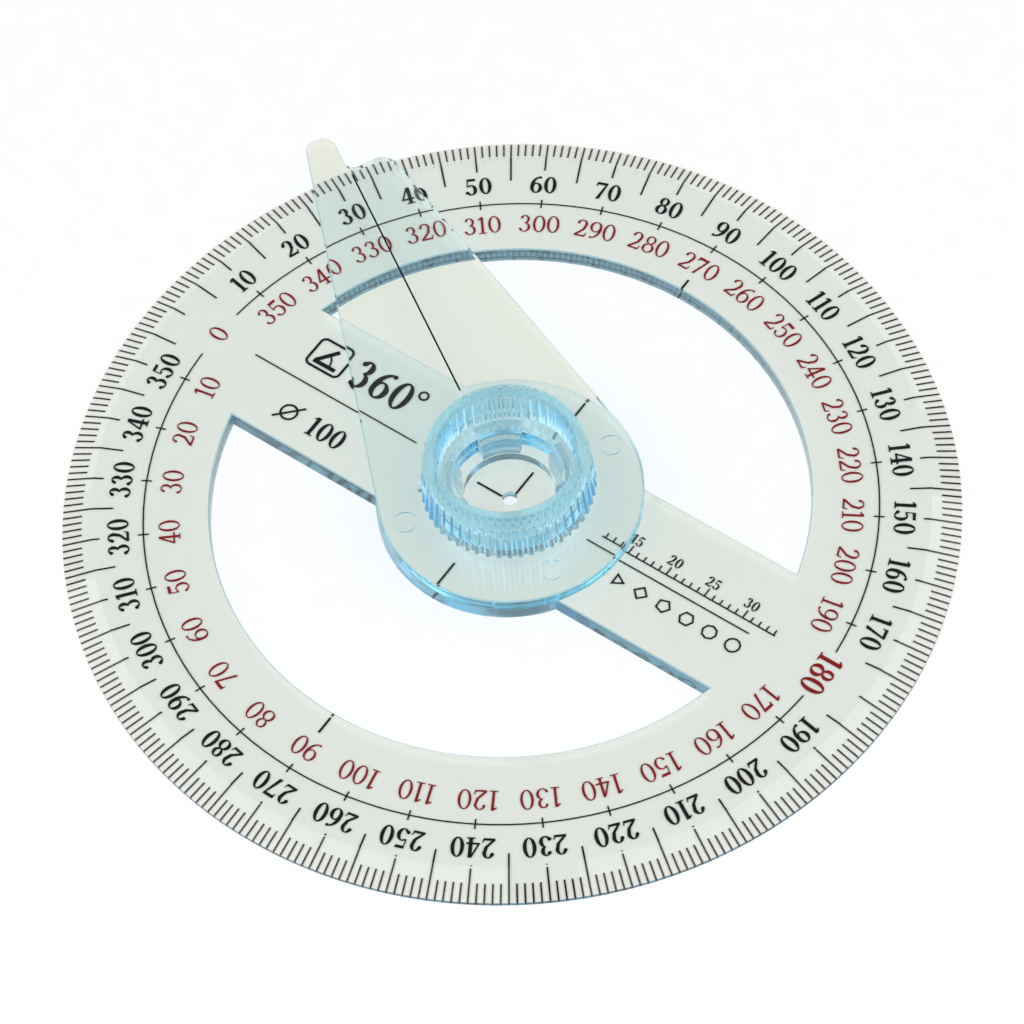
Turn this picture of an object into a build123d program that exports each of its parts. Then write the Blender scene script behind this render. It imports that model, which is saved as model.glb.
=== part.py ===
from build123d import *
from math import atan2, cos, degrees, hypot, pi, radians, sin, tan
import os

# Swing-arm protractor, 100 mm across, in clear plastic.
# Row frame in millimetres: origin on the pivot axis at the underside of the dial, +Z up.
# The 0 mark of the scale lies towards -X and the black scale runs clockwise seen from +Z,
# so black 90 lies towards +Y. The arm rests at the reading given by arm_reading.

# ---- Driving dimensions: dial ----
dial_radius = 50.0
dial_thickness = 2.1
rim_thickness = 0.5  # plate thickness left at the bevelled rim
bevel_width = 3.4  # radial width of the bevel
window_radius = 33.4  # arc of the two D-shaped windows
bar_half_width = 8.6  # crossbar between the windows
boss_radius = 14.9  # round centre of the crossbar
centre_hole_radius = 0.85
recess_radius = 5.2  # recess around the centre hole
recess_depth = 1.2

# ---- Driving dimensions: snap fingers of the dial ----
finger_count = 4
finger_width = 4.3
finger_inner_radius = 5.3
finger_outer_radius = 6.3
finger_height = 6.35  # top of the fingers above the underside
finger_knee = 4.8  # the inner face leans outwards above this height
hook_radius = 7.2
hook_lead = 0.3  # lead-in on the hook's upper edge
hook_lift = 0.15  # the hook's underside stands this far above the knob's conical seat
finger_mark_radius = 0.42
finger_mark_depth = 0.08

# ---- Driving dimensions: swing arm ----
arm_reading = 32.35  # degrees on the black scale at rest
arm_gap = 0.2  # dial top to arm underside
arm_thickness = 1.5
arm_bore_radius = 7.9
head_radius = 14.8
head_setback = 0.5  # head's centre behind the pivot
side_angle = 11.9  # each straight side to the arm's centre line
tip_reach = 54.0  # pivot to the end of the pointer
tip_edge = 0.35  # pointer's inner edge beside the hairline
shoulder_reach = 48.1
shoulder_rise = 0.7  # the shoulder bulges over the rim towards its corner
ejector_radius = 1.4
ejector_circle = 12.3
ejector_line = 0.22
ejector_depth = 0.15
pointer_round = 1.65  # pointer's corners
notch_round = 1.2  # hollow corner between pointer and shoulder
shoulder_round = 2.0
edge_break = 0.15  # small chamfer on moulded edges

# ---- Driving dimensions: knob ----
knob_clearance = 0.1  # knob flange to arm top, and spigot end to dial top
spigot_play = 0.07  # radial play of the spigot in the arm's bore
knob_height = 10.5  # top of the knob above the underside
knob_base_radius = 9.75
knob_collar_radius = 9.3  # at the foot of the smooth collar
knob_lip_radius = 8.75  # outer edge of the flat top
knob_mouth_radius = 7.85
knob_seat_radius = 7.5  # upper end of the conical seat under the hooks
knob_bore_radius = 6.45
seat_top = 6.05
seat_foot = 4.65
collar_height = 1.95
lip_round = 0.4  # outer edge of the flat top
mouth_round = 0.15
knurl_count = 50
knurl_depth = 0.27
knurl_floor = 0.3  # width of a groove at its bottom
knurl_mouth = 0.86  # width of a groove at the foot's outer surface
knurl_inset = 0.3  # groove bottom leans inwards by this much over its height
gate_angle = 217.5  # where the small gate stub stands on the knob's foot
gate_size = 0.8

# ---- Driving dimensions: printing ----
ink_depth = 0.03  # ink film
ink_height = 0.02  # ink above the face it is printed on, under its lacquer
line_width = 0.17
tick_width = 0.19
mark_width = 0.25  # short marks on the axes
boss_mark_start = 10.5  # radius where the two marks on the round centre begin
label_step = 10  # degrees between numerals
tick_inner = {"unit": 47.5, "ten": 45.8, "five": 44.3}
tick_outer = 49.9
outer_label_radius = 43.7
inner_label_radius = 38.0
label_height = 2.4
arc_radius = 40.9
arc_gap = 4.5  # degrees left free on each side of 0 and 180
arc_width = 0.16
cross_length = 1.2
zero_height = 2.4  # large figures on the arc at the two ends of the baseline
half_turn_height = 2.8
second_line = 1.3  # height of the second line beside the baseline
cross_start = 1.1  # two arms of the centre cross, towards -X and +Y
cross_end = 4.5
hairline_start = 14.4
hairline_end = 48.0
hairline_width = 0.21
icon_line = 0.2

arm_z = dial_thickness + arm_gap
arm_top = arm_z + arm_thickness


# ---- Digits: serif numerals one unit high, standing on y = 0, centred on x = 0 ----
def ring(x, y, half_width, half_height, thick, thin):
    """Upright oval ring, thick at its sides and thin at top and bottom."""
    with Locations((x, y)):
        Ellipse(half_width, half_height)
        Ellipse(half_width - thick, half_height - thin, mode=Mode.SUBTRACT)


def dot(x, y, size):
    with Locations((x, y)):
        Circle(size)


def block(x, y, width, height, mode=Mode.ADD):
    """Rectangle from its lower left corner."""
    with Locations((x, y)):
        Rectangle(width, height, align=(Align.MIN, Align.MIN), mode=mode)


def shape(*points, mode=Mode.ADD):
    Polygon(*points, align=None, mode=mode)


def bowl(x, y, half_width, half_height, thick, thin, bite):
    """Oval ring whose left side is bitten away, with a round terminal."""
    with BuildSketch(mode=Mode.PRIVATE) as stroke:
        ring(x, y, half_width, half_height, thick, thin)
        block(x - 2 * half_width, bite[0], 2 * half_width, bite[1] - bite[0], mode=Mode.SUBTRACT)
    add(stroke.sketch)


def digit_one(thick, thin):
    block(-thick / 2, 0, thick, 1)
    block(-0.19, 0, 0.38, thin)
    shape((-thick / 2, 1), (-0.2, 0.87), (-0.18, 0.82), (-thick / 2, 0.88))


def digit_two(thick, thin):
    bowl(-0.02, 0.72, 0.26, 0.28, thick, thin, (0.4, 0.78))
    block(-0.3, 0.4, 0.6, 0.3, mode=Mode.SUBTRACT)
    dot(-0.2, 0.78, 0.5 * thick)
    shape((0.24, 0.72), (0.24 - thick, 0.72), (0.1 - thick / 2, 0.44), (-0.28, 0.1), (-0.28, 0),
          (-0.12, 0.12), (0.16, 0.42))
    block(-0.28, 0, 0.52, 0.5 * thick + 0.5 * thin)
    shape((0.18, 0), (0.24, 0), (0.29, 0.24), (0.25, 0.24), (0.2, 0.1))


def digit_three(thick, thin):
    bowl(-0.03, 0.755, 0.23, 0.245, thick, thin, (0.49, 0.84))
    bowl(-0.03, 0.285, 0.28, 0.285, thick, thin, (0.16, 0.6))
    dot(-0.18, 0.84, 0.48 * thick)
    dot(-0.22, 0.17, 0.52 * thick)


def digit_four(thick, thin):
    block(0.02, 0, thick, 1)
    block(-0.3, 0.25, 0.6, thin + 0.03)
    shape((0.02, 1), (-0.3, 0.3), (-0.3, 0.25), (-0.22, 0.28), (0.02, 0.82))
    block(-0.08, 0, 0.2 + thick, thin)


def digit_five(thick, thin):
    bowl(-0.02, 0.32, 0.28, 0.32, thick, thin, (0.16, 0.52))
    dot(-0.22, 0.17, 0.5 * thick)
    shape((-0.2, 1), (0.22, 1), (0.18, 0.86), (-0.16, 0.86), (-0.18, 0.56), (-0.2, 0.52), (-0.23, 0.54))


def digit_six(thick, thin):
    with BuildSketch(mode=Mode.PRIVATE) as back:
        ring(0.2, 0.4, 0.49, 0.6, thick, thin)
        block(0.2, -0.3, 0.6, 1.4, mode=Mode.SUBTRACT)
        block(-0.4, -0.3, 1.2, 0.62, mode=Mode.SUBTRACT)
    add(back.sketch)
    ring(0, 0.31, 0.29, 0.31, thick, thin)
    dot(0.17, 0.94, 0.42 * thick)


def digit_seven(thick, thin):
    shape((-0.26, 1), (0.27, 1), (0.27, 0.95), (0.22, 0.86), (-0.2, 0.86), (-0.25, 0.74), (-0.28, 0.74))
    shape((0.27, 0.95), (0.16, 0.88), (-0.12 - thick / 4, 0), (-0.12 + thick * 0.75, 0))


def digit_eight(thick, thin):
    ring(0, 0.755, 0.24, 0.245, 0.85 * thick, thin)
    ring(0, 0.275, 0.29, 0.275, thick, thin)


def digit_zero(thick, thin):
    ring(0, 0.5, 0.3, 0.5, thick, thin)


def glyph_set(thick, thin):
    """All digits in one weight, as a dictionary of flat sketches."""
    makers = {"0": digit_zero, "1": digit_one, "2": digit_two, "3": digit_three, "4": digit_four,
              "5": digit_five, "6": digit_six, "7": digit_seven, "8": digit_eight}
    glyphs = {}
    for name, maker in makers.items():
        with BuildSketch(mode=Mode.PRIVATE) as glyph:
            maker(thick, thin)
        glyphs[name] = glyph.sketch
    with BuildSketch(mode=Mode.PRIVATE) as nine:
        add(Pos(0, 1) * Rot(0, 0, 180) * glyphs["6"])
    glyphs["9"] = nine.sketch
    return glyphs


digit_advance = {digit: 0.68 for digit in "023456789"}
digit_advance["1"] = 0.5
bold = glyph_set(0.17, 0.06)
regular = glyph_set(0.115, 0.05)


def text_faces(text, glyphs, height, place):
    """Digits of one label, centred on the location `place` with their tops towards its +Y."""
    width = sum(digit_advance[letter] for letter in text)
    pen = -width / 2
    faces = []
    for letter in text:
        pen += digit_advance[letter] / 2
        glyph = scale(glyphs[letter], by=height, mode=Mode.PRIVATE)
        faces.append(place * Pos(pen * height, -height / 2) * glyph)
        pen += digit_advance[letter] / 2
    return faces


def scale_angle(reading):
    """Polar angle from +X of a reading on the black scale."""
    return 180 - reading


def dial_place(reading, radius):
    """Place on the dial at a reading, with local +Y pointing outwards."""
    angle = scale_angle(reading)
    return Pos(radius * cos(radians(angle)), radius * sin(radians(angle))) * Rot(0, 0, angle - 90)


def stroke(start, end, width=line_width):
    """Straight printed line between two points, in the sketch being built."""
    run_x, run_y = end[0] - start[0], end[1] - start[1]
    middle = ((start[0] + end[0]) / 2, (start[1] + end[1]) / 2)
    with Locations(Pos(*middle) * Rot(0, 0, degrees(atan2(run_y, run_x)))):
        Rectangle(hypot(run_x, run_y), width)


# ---- Dial: disc with two D windows, central boss, bevelled rim and four snap fingers ----
finger_root = dial_thickness - recess_depth - 0.2
finger_half_angle = degrees(finger_width / 2 / finger_inner_radius)


def hook_underside(radius):
    """Height of the hook's sloping underside, parallel to the knob's conical seat."""
    seat_slope = (seat_top - seat_foot) / (knob_seat_radius - knob_bore_radius)
    return seat_foot + (radius - knob_bore_radius) * seat_slope + hook_lift


with BuildPart() as dial_plate:
    with BuildSketch():
        Circle(dial_radius)
    extrude(amount=dial_thickness)
    with BuildSketch() as windows:
        Circle(window_radius)
        Rectangle(2 * dial_radius, 2 * bar_half_width, mode=Mode.SUBTRACT)
        Circle(boss_radius, mode=Mode.SUBTRACT)
    extrude(amount=dial_thickness, mode=Mode.SUBTRACT)
    # bevel of the rim
    with BuildSketch(Plane.XZ) as bevel:
        Polygon(
            (dial_radius - bevel_width, dial_thickness),
            (dial_radius, rim_thickness),
            (dial_radius + 1, rim_thickness),
            (dial_radius + 1, dial_thickness + 1),
            (dial_radius - bevel_width, dial_thickness + 1),
            align=None,
        )
    revolve(axis=Axis.Z, mode=Mode.SUBTRACT)
    chamfer(dial_plate.faces().sort_by(Axis.Z)[-1].inner_wires().edges(), length=edge_break)
    # recess around the centre hole
    with BuildSketch(Plane.XY.offset(dial_thickness)):
        Circle(recess_radius)
    extrude(amount=-recess_depth, mode=Mode.SUBTRACT)
    # snap fingers, each half way between the two printed axes
    with BuildSketch(Plane.XZ) as finger_profile:
        Polygon(
            (finger_inner_radius, finger_root),
            (finger_inner_radius, finger_knee),
            (finger_outer_radius - 0.2, finger_height),
            (hook_radius - hook_lead, finger_height),
            (hook_radius, hook_underside(hook_radius)),
            (finger_outer_radius, hook_underside(finger_outer_radius)),
            (finger_outer_radius, finger_root),
            align=None,
        )
    first_finger = 45 - finger_half_angle
    for index in range(finger_count):
        start = first_finger + index * 360 / finger_count
        revolve(
            finger_profile.sketch.rotate(Axis.Z, start),
            axis=Axis.Z,
            revolution_arc=2 * finger_half_angle,
        )
    # round marks in the finger tops
    mark_circle = (finger_outer_radius + hook_radius) / 2 - 0.15
    with BuildSketch(Plane.XY.offset(finger_height)):
        with PolarLocations(mark_circle, finger_count, start_angle=45):
            Circle(finger_mark_radius)
    extrude(amount=-finger_mark_depth, mode=Mode.SUBTRACT)
    Hole(centre_hole_radius, depth=dial_radius)
dial_plate.part.label = "dial_plate"


# ---- Swing arm: drop-shaped plate with a bore, a shoulder over the rim and a pointer ----
def arm_plane(height):
    """Plane parallel to the dial with local +X along the arm's hairline."""
    angle = radians(scale_angle(arm_reading))
    return Plane(origin=(0, 0, height), x_dir=(cos(angle), sin(angle), 0), z_dir=(0, 0, 1))


def side_line(reach):
    """Half width of the arm's tapering part at a distance from the pivot."""
    return head_radius / cos(radians(side_angle)) - (reach + head_setback) * tan(radians(side_angle))


tangent_x = head_radius * sin(radians(side_angle)) - head_setback
tangent_y = head_radius * cos(radians(side_angle))

with BuildPart() as swing_arm:
    with BuildSketch(arm_plane(arm_z)) as arm_outline:
        Polygon(
            (tangent_x, tangent_y),
            (tip_reach, side_line(tip_reach)),
            (tip_reach, tip_edge),
            (shoulder_reach, tip_edge),
            (shoulder_reach + shoulder_rise, -side_line(shoulder_reach + shoulder_rise)),
            (tangent_x, -tangent_y),
            (-head_setback, 0),
            align=None,
        )
        outer_corners = arm_outline.vertices().sort_by(Axis.X)[-4:]
        fillet(outer_corners[2:], radius=pointer_round)
        notch = (shoulder_reach, tip_edge, 0)
        fillet(arm_outline.vertices().sort_by_distance(notch)[0], radius=notch_round)
        shoulder = (shoulder_reach + shoulder_rise, -side_line(shoulder_reach + shoulder_rise), 0)
        fillet(arm_outline.vertices().sort_by_distance(shoulder)[0], radius=shoulder_round)
        with Locations((-head_setback, 0)):
            Circle(head_radius)
        Circle(arm_bore_radius, mode=Mode.SUBTRACT)
    extrude(amount=arm_thickness)
    arm_faces = swing_arm.faces().sort_by(Axis.Z)
    chamfer(arm_faces[-1].edges(), length=edge_break)
    # shallow round ejector marks on the head
    with BuildSketch(arm_plane(arm_top)):
        with PolarLocations(ejector_circle, 3, start_angle=90, angular_range=180, endpoint=True):
            Circle(ejector_radius)
            Circle(ejector_radius - ejector_line, mode=Mode.SUBTRACT)
    extrude(amount=-ejector_depth, mode=Mode.SUBTRACT)
swing_arm.part.label = "swing_arm"


# ---- Knob: knurled ring with a spigot, snapped over the fingers of the dial ----
spigot_foot = dial_thickness + knob_clearance
flange_foot = arm_top + knob_clearance
spigot_radius = arm_bore_radius - spigot_play
collar_foot = knob_height - collar_height

with BuildPart() as knurl_groove:
    groove_floor = knob_base_radius - knurl_depth
    groove_flare = (knurl_mouth - knurl_floor) / 2 / knurl_depth
    half_mouth = knurl_floor / 2 + 2 * knurl_depth * groove_flare
    with BuildSketch(Plane.XY.offset(flange_foot - 0.5)):
        Polygon(
            (groove_floor, -knurl_floor / 2),
            (groove_floor + 2 * knurl_depth, -half_mouth),
            (groove_floor + 2 * knurl_depth, half_mouth),
            (groove_floor, knurl_floor / 2),
            align=None,
        )
    rise = collar_foot - flange_foot + 0.5
    extrude(amount=hypot(rise, knurl_inset), dir=(-knurl_inset, 0, rise))

with BuildPart() as knurled_knob:
    with BuildSketch(Plane.XZ) as knob_profile:
        Polygon(
            (knob_mouth_radius, knob_height),
            (knob_seat_radius, seat_top),
            (knob_bore_radius, seat_foot),
            (knob_bore_radius, spigot_foot),
            (spigot_radius, spigot_foot),
            (spigot_radius, flange_foot),
            (knob_base_radius, flange_foot),
            (knob_collar_radius, collar_foot),
            (knob_lip_radius, knob_height),
            align=None,
        )
        top_corners = knob_profile.vertices().sort_by(Axis.Y)[-2:].sort_by(Axis.X)
        fillet(top_corners[0], radius=mouth_round)
        fillet(top_corners[1], radius=lip_round)
    revolve(axis=Axis.Z)
    with PolarLocations(0, knurl_count):
        add(knurl_groove.part, mode=Mode.SUBTRACT)
    # stub left where the moulding gate was cut off
    gate_plane = Plane(
        origin=(0, 0, flange_foot),
        x_dir=(cos(radians(gate_angle)), sin(radians(gate_angle)), 0),
        z_dir=(0, 0, 1),
    )
    with BuildSketch(gate_plane):
        with Locations((knob_base_radius - 0.1, 0)):
            Rectangle(gate_size, gate_size)
    extrude(amount=gate_size)
knurled_knob.part.label = "knurled_knob"


# ---- Printing: thin ink films just inside the underside of the plate they are printed on ----
dial_ink = Plane.XY.offset(ink_height)

with BuildPart() as degree_ticks:
    with BuildSketch(dial_ink):
        for reading in range(360):
            kind = "ten" if reading % label_step == 0 else "five" if reading % 5 == 0 else "unit"
            inner = tick_inner[kind]
            with Locations(dial_place(reading, (inner + tick_outer) / 2)):
                Rectangle(tick_width, tick_outer - inner)
    extrude(amount=ink_depth)
degree_ticks.part.label = "degree_ticks"

with BuildPart() as outer_numerals:
    with BuildSketch(dial_ink):
        for reading in range(label_step, 360, label_step):
            if reading != 180:
                add(text_faces(str(reading), bold, label_height, dial_place(reading, outer_label_radius)))
    extrude(amount=ink_depth)
outer_numerals.part.label = "outer_numerals"

with BuildPart() as inner_numerals:
    with BuildSketch(dial_ink):
        for reading in range(label_step, 360, label_step):
            if reading != 180:
                place = dial_place(reading, inner_label_radius)
                add(text_faces(str(360 - reading), regular, label_height, place))
    extrude(amount=ink_depth)
inner_numerals.part.label = "inner_numerals"

with BuildPart() as axis_numerals:
    with BuildSketch(dial_ink):
        add(text_faces("0", regular, zero_height, dial_place(0, arc_radius)))
        add(text_faces("180", bold, half_turn_height, dial_place(180, arc_radius)))
    extrude(amount=ink_depth)
axis_numerals.part.label = "axis_numerals"

with BuildPart() as scale_arc:
    with BuildSketch(dial_ink):
        for start in (arc_gap, 180 + arc_gap):
            with BuildLine():
                inner_arc = CenterArc((0, 0), arc_radius - arc_width / 2, start, 180 - 2 * arc_gap)
                outer_arc = CenterArc((0, 0), arc_radius + arc_width / 2, start, 180 - 2 * arc_gap)
                Line(inner_arc @ 0, outer_arc @ 0)
                Line(inner_arc @ 1, outer_arc @ 1)
            make_face()
        for reading in range(label_step, 360, label_step):
            if reading != 180:
                with Locations(dial_place(reading, arc_radius)):
                    Rectangle(line_width, cross_length)
    extrude(amount=ink_depth)
scale_arc.part.label = "scale_arc"

with BuildPart() as axis_lines:
    with BuildSketch(dial_ink):
        stroke((-35.6, 0), (-12.8, 0))
        stroke((10.4, 0), (31.7, 0))
        stroke((11.6, second_line), (34.2, second_line))
        stroke((-cross_end, 0), (-cross_start, 0), width=mark_width)
        stroke((0, cross_start), (0, cross_end), width=mark_width)
        for side in (-1, 1):
            stroke((0, side * boss_mark_start), (0, side * (boss_radius - 0.1)), width=mark_width)
            stroke((0, side * (window_radius + 0.1)), (0, side * 35.7), width=mark_width)
    extrude(amount=ink_depth)
axis_lines.part.label = "axis_lines"

with BuildPart() as index_hairline:
    with BuildSketch(arm_plane(arm_z + ink_height)):
        stroke((hairline_start, 0), (hairline_end, 0), width=hairline_width)
    extrude(amount=ink_depth)
index_hairline.part.label = "index_hairline"


# ---- Plain marks beside the baseline: angle sign, figures, a millimetre rule and polygons ----
with BuildSketch(mode=Mode.PRIVATE) as angle_arc:
    Circle(2.0)
    Circle(2.0 - icon_line, mode=Mode.SUBTRACT)
    shape((0, 0), (-3, 0), (-3, -3), (3, -3), (3, 0), mode=Mode.SUBTRACT)
    shape((0, 0), (-3, 0), (-3, 3), (1.8, 3), mode=Mode.SUBTRACT)

with BuildPart() as plate_marks:
    with BuildSketch(dial_ink):
        # angle sign in a rounded frame
        with Locations((-28.1, 4.3)):
            RectangleRounded(4.8, 4.2, 0.8)
            RectangleRounded(4.2, 3.6, 0.5, mode=Mode.SUBTRACT)
        stroke((-29.6, 3.1), (-26.6, 3.1), width=0.5)
        stroke((-29.4, 3.2), (-27.6, 5.5), width=0.5)
        add(angle_arc.sketch.moved(Location((-29.4, 3.1))))
        # full turn, with a degree ring
        add(text_faces("360", bold, 3.9, Pos(-20.6, 4.2)))
        with Locations((-15.8, 5.6)):
            Circle(0.65)
            Circle(0.4, mode=Mode.SUBTRACT)
        # diameter of the plate, with a diameter sign
        add(text_faces("100", bold, 2.6, Pos(-22.3, -4.25)))
        with Locations((-27.6, -4.25)):
            Circle(1.1)
            Circle(0.85, mode=Mode.SUBTRACT)
        stroke((-29.0, -5.65), (-26.2, -2.85), width=0.25)
        # short millimetre rule just above the second line
        rule_foot = second_line + 0.1
        for reach in range(12, 35):
            tick = 1.0 if reach % 5 == 0 else 0.6
            stroke((reach, rule_foot), (reach, rule_foot + tick))
        for reach in (15, 20, 25, 30):
            add(text_faces(str(reach), bold, 1.3, Pos(reach, rule_foot + 1.85)))
        # row of small polygons
        for index, sides in enumerate((3, 4, 5, 6, 8, 12)):
            with Locations((16 + 3 * index, -2.2)):
                RegularPolygon(0.95, sides)
                RegularPolygon(0.95 - icon_line / cos(pi / sides), sides, mode=Mode.SUBTRACT)
    extrude(amount=ink_depth)
plate_marks.part.label = "plate_marks"

os.makedirs("parts", exist_ok=True)
pieces = [dial_plate, swing_arm, knurled_knob, degree_ticks, outer_numerals, inner_numerals,
          axis_numerals, scale_arc, axis_lines, index_hairline, plate_marks]
for piece in pieces:
    export_step(piece.part, f"parts/{piece.part.label}.step")
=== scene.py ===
from math import cos, radians, sin

import bpy
from mathutils import Matrix, Vector

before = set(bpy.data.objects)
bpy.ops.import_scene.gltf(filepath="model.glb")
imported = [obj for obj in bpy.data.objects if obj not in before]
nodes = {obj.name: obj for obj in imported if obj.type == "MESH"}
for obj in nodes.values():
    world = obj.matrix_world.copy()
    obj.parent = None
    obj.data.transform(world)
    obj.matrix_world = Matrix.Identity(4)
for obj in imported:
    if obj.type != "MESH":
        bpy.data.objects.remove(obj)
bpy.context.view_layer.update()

# ---- Places on the dial plate, in metres ----
finger_foot = 0.0022  # the snap fingers stand above this height
well_radius = 0.00525  # the recess and the centre hole lie within this radius

# ---- Scales of the noise patterns, in waves per metre ----
smear_scale = 180  # uneven gloss of moulded plastic
wave_scale = 120  # slow waves in its surface
mottle_scale = 2500  # density of the printed ink
grain_scale = 300  # paper


# ---- Node helpers ----
def new_material(name):
    """An empty node material; returns it, its node tree and its output node."""
    material = bpy.data.materials.new(name)
    material.use_nodes = True
    tree = material.node_tree
    tree.nodes.clear()
    return material, tree, node(tree, "ShaderNodeOutputMaterial")


def node(tree, kind, **values):
    """Adds a node. Keywords in lower case are properties, the others are input values."""
    made = tree.nodes.new(kind)
    for key, value in values.items():
        if key[0].islower():
            setattr(made, key, value)
        else:
            made.inputs[key.replace("_", " ")].default_value = value
    return made


def link(tree, source, target, output=0, to=0):
    tree.links.new(source.outputs[output], target.inputs[to])


def noise(tree, scale, detail=3.0, roughness=0.5):
    """Noise in the piece's own coordinates."""
    where = node(tree, "ShaderNodeTexCoord")
    made = node(tree, "ShaderNodeTexNoise", Scale=scale, Detail=detail, Roughness=roughness)
    link(tree, where, made, "Object", "Vector")
    return made


def spread(tree, source, low, high, start=0.3, end=0.7):
    """Maps a pattern's middle range to low..high."""
    made = node(tree, "ShaderNodeMapRange", From_Min=start, From_Max=end, To_Min=low, To_Max=high)
    link(tree, source, made, 0, "Value")
    return made


def colour_ramp(tree, source, first, second, start=0.0, end=1.0, output=0):
    """Maps a value from start to end to a colour from the first to the second."""
    made = node(tree, "ShaderNodeValToRGB")
    for stop, place, colour in zip(made.color_ramp.elements, (start, end), (first, second)):
        stop.position = place
        stop.color = (*colour, 1)
    link(tree, source, made, output)
    return made


def split(tree, kind):
    """X, Y and Z of the piece's own position or normal."""
    where = node(tree, "ShaderNodeTexCoord")
    made = node(tree, "ShaderNodeSeparateXYZ")
    link(tree, where, made, kind)
    return made


def compared(tree, operation, source, output, limit):
    """One where the value is beyond the limit, otherwise nought."""
    made = node(tree, "ShaderNodeMath", operation=operation)
    made.inputs[1].default_value = limit
    link(tree, source, made, output)
    return made


def above_height(tree, height):
    """One where the piece is higher than this."""
    return compared(tree, "GREATER_THAN", split(tree, "Object"), "Z", height)


def upright_walls(tree, limit=0.75):
    """One on upright walls and broken edges, where the normal's rise is below the limit."""
    rise = node(tree, "ShaderNodeMath", operation="ABSOLUTE")
    link(tree, split(tree, "Normal"), rise, "Z")
    return compared(tree, "LESS_THAN", rise, 0, limit)


def inside_radius(tree, radius):
    """One where the piece is nearer than this to its own upright axis."""
    where = node(tree, "ShaderNodeTexCoord")
    flat = node(tree, "ShaderNodeMapping", Scale=(1, 1, 0))
    reach = node(tree, "ShaderNodeVectorMath", operation="LENGTH")
    link(tree, where, flat, "Object", "Vector")
    link(tree, flat, reach)
    return compared(tree, "LESS_THAN", reach, "Value", radius)


def choose(tree, mask, first, second):
    """The first value where the mask is nought and the second where it is one."""
    made = node(tree, "ShaderNodeMix", data_type="FLOAT")
    link(tree, mask, made, 0, "Factor")
    link(tree, first, made, 0, "A")
    link(tree, second, made, 0, "B")
    return made


def choose_colour(tree, mask, first, second):
    """The same for two colours, each given as a colour or as a node."""
    made = node(tree, "ShaderNodeMixRGB")
    link(tree, mask, made)
    for to, given in ((1, first), (2, second)):
        if isinstance(given, tuple):
            made.inputs[to].default_value = (*given, 1)
        else:
            link(tree, given, made, 0, to)
    return made


def mix_by_ray(tree, ray, other, chosen):
    """The chosen shader for this kind of ray and the other for every other ray."""
    path = node(tree, "ShaderNodeLightPath")
    made = node(tree, "ShaderNodeMixShader")
    link(tree, path, made, ray)
    link(tree, other, made, 0, 1)
    link(tree, chosen, made, 0, 2)
    return made


# ---- Materials ----
def absorption(tree, red, green, blue):
    """Volume absorption from the share lost per metre in each colour."""
    density = max(red, green, blue)
    tint = [1 - loss / density for loss in (red, green, blue)]
    return node(tree, "ShaderNodeVolumeAbsorption", Color=(*tint, 1), Density=density)


def clear_plastic(name, losses, smooth, walls, wall_shade, face=(1, 1, 1), frosted=None, frost_from=0.0,
                  tint=(1, 1, 1), well=0.0, well_wall_shade=(1, 1, 1), shade=1.0, ior=1.5):
    """Moulded clear plastic: bends light, is coloured by its depth, and lets lamps light what is under it.

    losses: absorption per metre in red, green and blue
    smooth, walls: ranges of the roughness on faces and on upright walls
    face: surface colour of faces; wall_shade: painted shade on upright walls, a darker blue standing in
    for the shade and deep blue seen in them
    frosted, tint: range of the roughness, and surface colour, above the height frost_from
    well_wall_shade: lighter painted shade on upright walls within the radius well
    shade: how much light each surface passes on to what is under it"""
    material, tree, out = new_material(name)
    glass = node(tree, "ShaderNodeBsdfPrincipled", IOR=ior)
    glass.inputs["Transmission Weight"].default_value = 1.0
    smears = noise(tree, smear_scale, detail=4.0, roughness=0.6)
    upright = upright_walls(tree)
    rough = choose(tree, upright, spread(tree, smears, *smooth), spread(tree, smears, *walls))
    # Painted shade: upright walls get a darker blue surface colour, and a lighter one within the well.
    shaded_wall_colour = choose_colour(tree, inside_radius(tree, well), wall_shade, well_wall_shade) if well else wall_shade
    colour = choose_colour(tree, upright, face, shaded_wall_colour)
    if frosted:
        above = above_height(tree, frost_from)
        rough = choose(tree, above, rough, spread(tree, smears, *frosted))
        colour = choose_colour(tree, above, colour, tint)
    link(tree, colour, glass, 0, "Base Color")
    link(tree, rough, glass, 0, "Roughness")
    waves = noise(tree, wave_scale, detail=1.0, roughness=0.4)
    bump = node(tree, "ShaderNodeBump", Strength=0.02, Distance=0.001)
    link(tree, waves, bump, 0, "Height")
    link(tree, bump, glass, 0, "Normal")
    clear = node(tree, "ShaderNodeBsdfTransparent", Color=(shade, shade, shade, 1))
    lamps = mix_by_ray(tree, "Is Shadow Ray", glass, clear)
    bounced = mix_by_ray(tree, "Is Diffuse Ray", lamps, clear)
    link(tree, bounced, out, 0, "Surface")
    link(tree, absorption(tree, *losses), out, 0, "Volume")
    return material


def matt(tree, colour, roughness, specular):
    """A matt surface in the colour of a node."""
    body = node(tree, "ShaderNodeBsdfPrincipled", Roughness=roughness)
    body.inputs["Specular IOR Level"].default_value = specular
    link(tree, colour, body, 0, "Base Color")
    return body


def ink(name, dark, light):
    """Screen-printed ink bonded to the plastic: matt, with a faint mottle in its density."""
    material, tree, out = new_material(name)
    mottle = noise(tree, mottle_scale, detail=4.0, roughness=0.6)
    colour = colour_ramp(tree, mottle, dark, light, start=0.35, end=0.7)
    link(tree, matt(tree, colour, roughness=0.7, specular=0.02), out, 0, "Surface")
    return material


# The colours given to the upright walls of each plastic are painted shade: darker blue on the cut walls,
# for the shade and deep blue seen in them.
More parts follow.
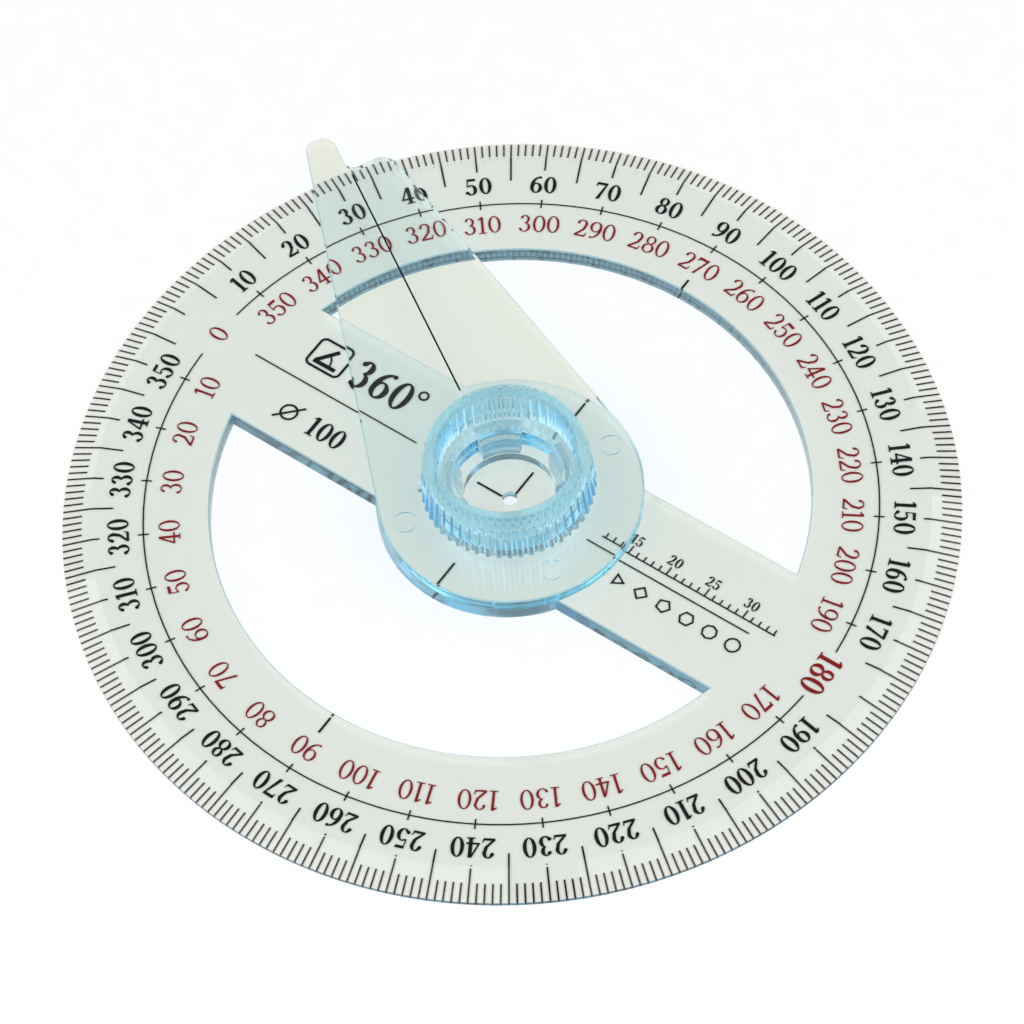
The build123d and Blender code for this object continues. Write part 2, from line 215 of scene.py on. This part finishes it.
plate_plastic = clear_plastic(
    "clear_plate_plastic", losses=(20, 7, 2), smooth=(0.0, 0.01), walls=(0.14, 0.18),
    face=(0.95, 0.985, 1.0), wall_shade=(0.2, 0.47, 0.64),
    frosted=(0.24, 0.34), frost_from=finger_foot, tint=(0.8, 0.94, 0.98),
    well=well_radius, well_wall_shade=(0.85, 0.93, 0.97))
arm_plastic = clear_plastic(
    "clear_arm_plastic", losses=(34, 5, 0), smooth=(0.0, 0.015), walls=(0.03, 0.06),
    wall_shade=(0.42, 0.72, 0.85), ior=1.46)
knob_plastic = clear_plastic(
    "pale_blue_knob_plastic", losses=(74, 25, 8), smooth=(0.05, 0.1), walls=(0.05, 0.09),
    wall_shade=(0.78, 0.92, 0.97), shade=0.97, ior=1.45)
black_ink = ink("black_ink", (0.002, 0.002, 0.002), (0.008, 0.008, 0.008))
red_ink = ink("red_ink", (0.2, 0.003, 0.006), (0.3, 0.008, 0.012))

looks = {
    "dial_plate": plate_plastic,
    "swing_arm": arm_plastic,
    "knurled_knob": knob_plastic,
    "inner_numerals": red_ink,
    "axis_numerals": red_ink,
}
for name, piece in nodes.items():
    piece.data.materials.clear()
    piece.data.materials.append(looks.get(name, black_ink))


# ---- Floor ----
def floor_material():
    """White paper; through the plastic it is seen a little warmer, like a photograph cut out on white."""
    material, tree, out = new_material("pale_floor")
    grain = noise(tree, grain_scale)
    warm = colour_ramp(tree, grain, (0.837, 0.795, 0.705), (0.857, 0.815, 0.725))
    white = colour_ramp(tree, grain, (0.90, 0.90, 0.905), (0.93, 0.93, 0.935))
    through, direct = (matt(tree, paper, roughness=0.9, specular=0.1) for paper in (warm, white))
    link(tree, mix_by_ray(tree, "Is Camera Ray", through, direct), out, 0, "Surface")
    return material


floor_reach = 3.0
floor_drop = 0.00005  # keeps the floor clear of the plate's underside
floor_mesh = bpy.data.meshes.new("floor")
corners = [(x * floor_reach, y * floor_reach, 0) for x, y in ((-1, -1), (1, -1), (1, 1), (-1, 1))]
floor_mesh.from_pydata(corners, [], [(0, 1, 2, 3)])
floor = bpy.data.objects.new("floor", floor_mesh)
floor.location.z = -floor_drop
floor_mesh.materials.append(floor_material())
bpy.context.scene.collection.objects.link(floor)

# ---- Studio light: a pale horizon, darker overhead, and two broad soft lamps ----
horizon, overhead = 0.6, 0.26  # brightness of the surroundings
horizon_top, overhead_from = 0.45, 0.7  # sines of the elevation where one turns into the other
world = bpy.data.worlds.new("studio")
bpy.context.scene.world = world
world.use_nodes = True
sky = world.node_tree
bands = colour_ramp(sky, split(sky, "Generated"), (horizon,) * 3, (overhead,) * 3,
                    start=horizon_top, end=overhead_from, output="Z")
link(sky, bands, sky.nodes["Background"], 0, "Color")


def area_light(name, azimuth, elevation, distance, size, power):
    """Square soft light aimed at the object's centre."""
    a, e = radians(azimuth), radians(elevation)
    out = Vector((sin(a) * cos(e), -cos(a) * cos(e), sin(e)))
    lamp = bpy.data.lights.new(name, "AREA")
    lamp.shape = "SQUARE"
    lamp.size = size
    lamp.energy = power
    made = bpy.data.objects.new(name, lamp)
    made.location = out * distance
    made.rotation_mode = "QUATERNION"
    made.rotation_quaternion = (-out).to_track_quat("-Z", "Y")
    bpy.context.scene.collection.objects.link(made)


area_light("key_light", azimuth=322, elevation=44, distance=1.3, size=1.9, power=15.1)
area_light("fill_light", azimuth=118, elevation=44, distance=1.3, size=1.9, power=14.4)

# ---- Camera: stands at azimuth and elevation about `aim`, turned by roll about its own axis ----
azimuth, elevation, roll = radians(39.539), radians(57.265), radians(-5.235)
distance = 0.43377
aim = Vector((0.001216, -0.001333, 0.00085))
back = Vector((sin(azimuth) * cos(elevation), -cos(azimuth) * cos(elevation), sin(elevation)))
level = Vector((cos(azimuth), sin(azimuth), 0))
square_to_level = back.cross(level)
right = cos(roll) * level + sin(roll) * square_to_level
up = cos(roll) * square_to_level - sin(roll) * level
turn = Matrix((right, up, back)).transposed().to_4x4()
camera_data = bpy.data.cameras.new("camera")
camera_data.sensor_width = 36.0
camera_data.lens = 137.606
camera_data.clip_start = 0.01
camera_data.clip_end = 20.0
camera = bpy.data.objects.new("camera", camera_data)
camera.matrix_world = Matrix.Translation(aim + back * distance) @ turn
bpy.context.scene.collection.objects.link(camera)
bpy.context.scene.camera = camera

# ---- Light has to pass many surfaces of the clear plates ----
bounces = 96
scene = bpy.context.scene
scene.view_settings.view_transform = "Standard"
scene.cycles.max_bounces = bounces
scene.cycles.glossy_bounces = bounces
scene.cycles.transmission_bounces = bounces
scene.cycles.transparent_max_bounces = bounces
scene.cycles.use_denoising = True
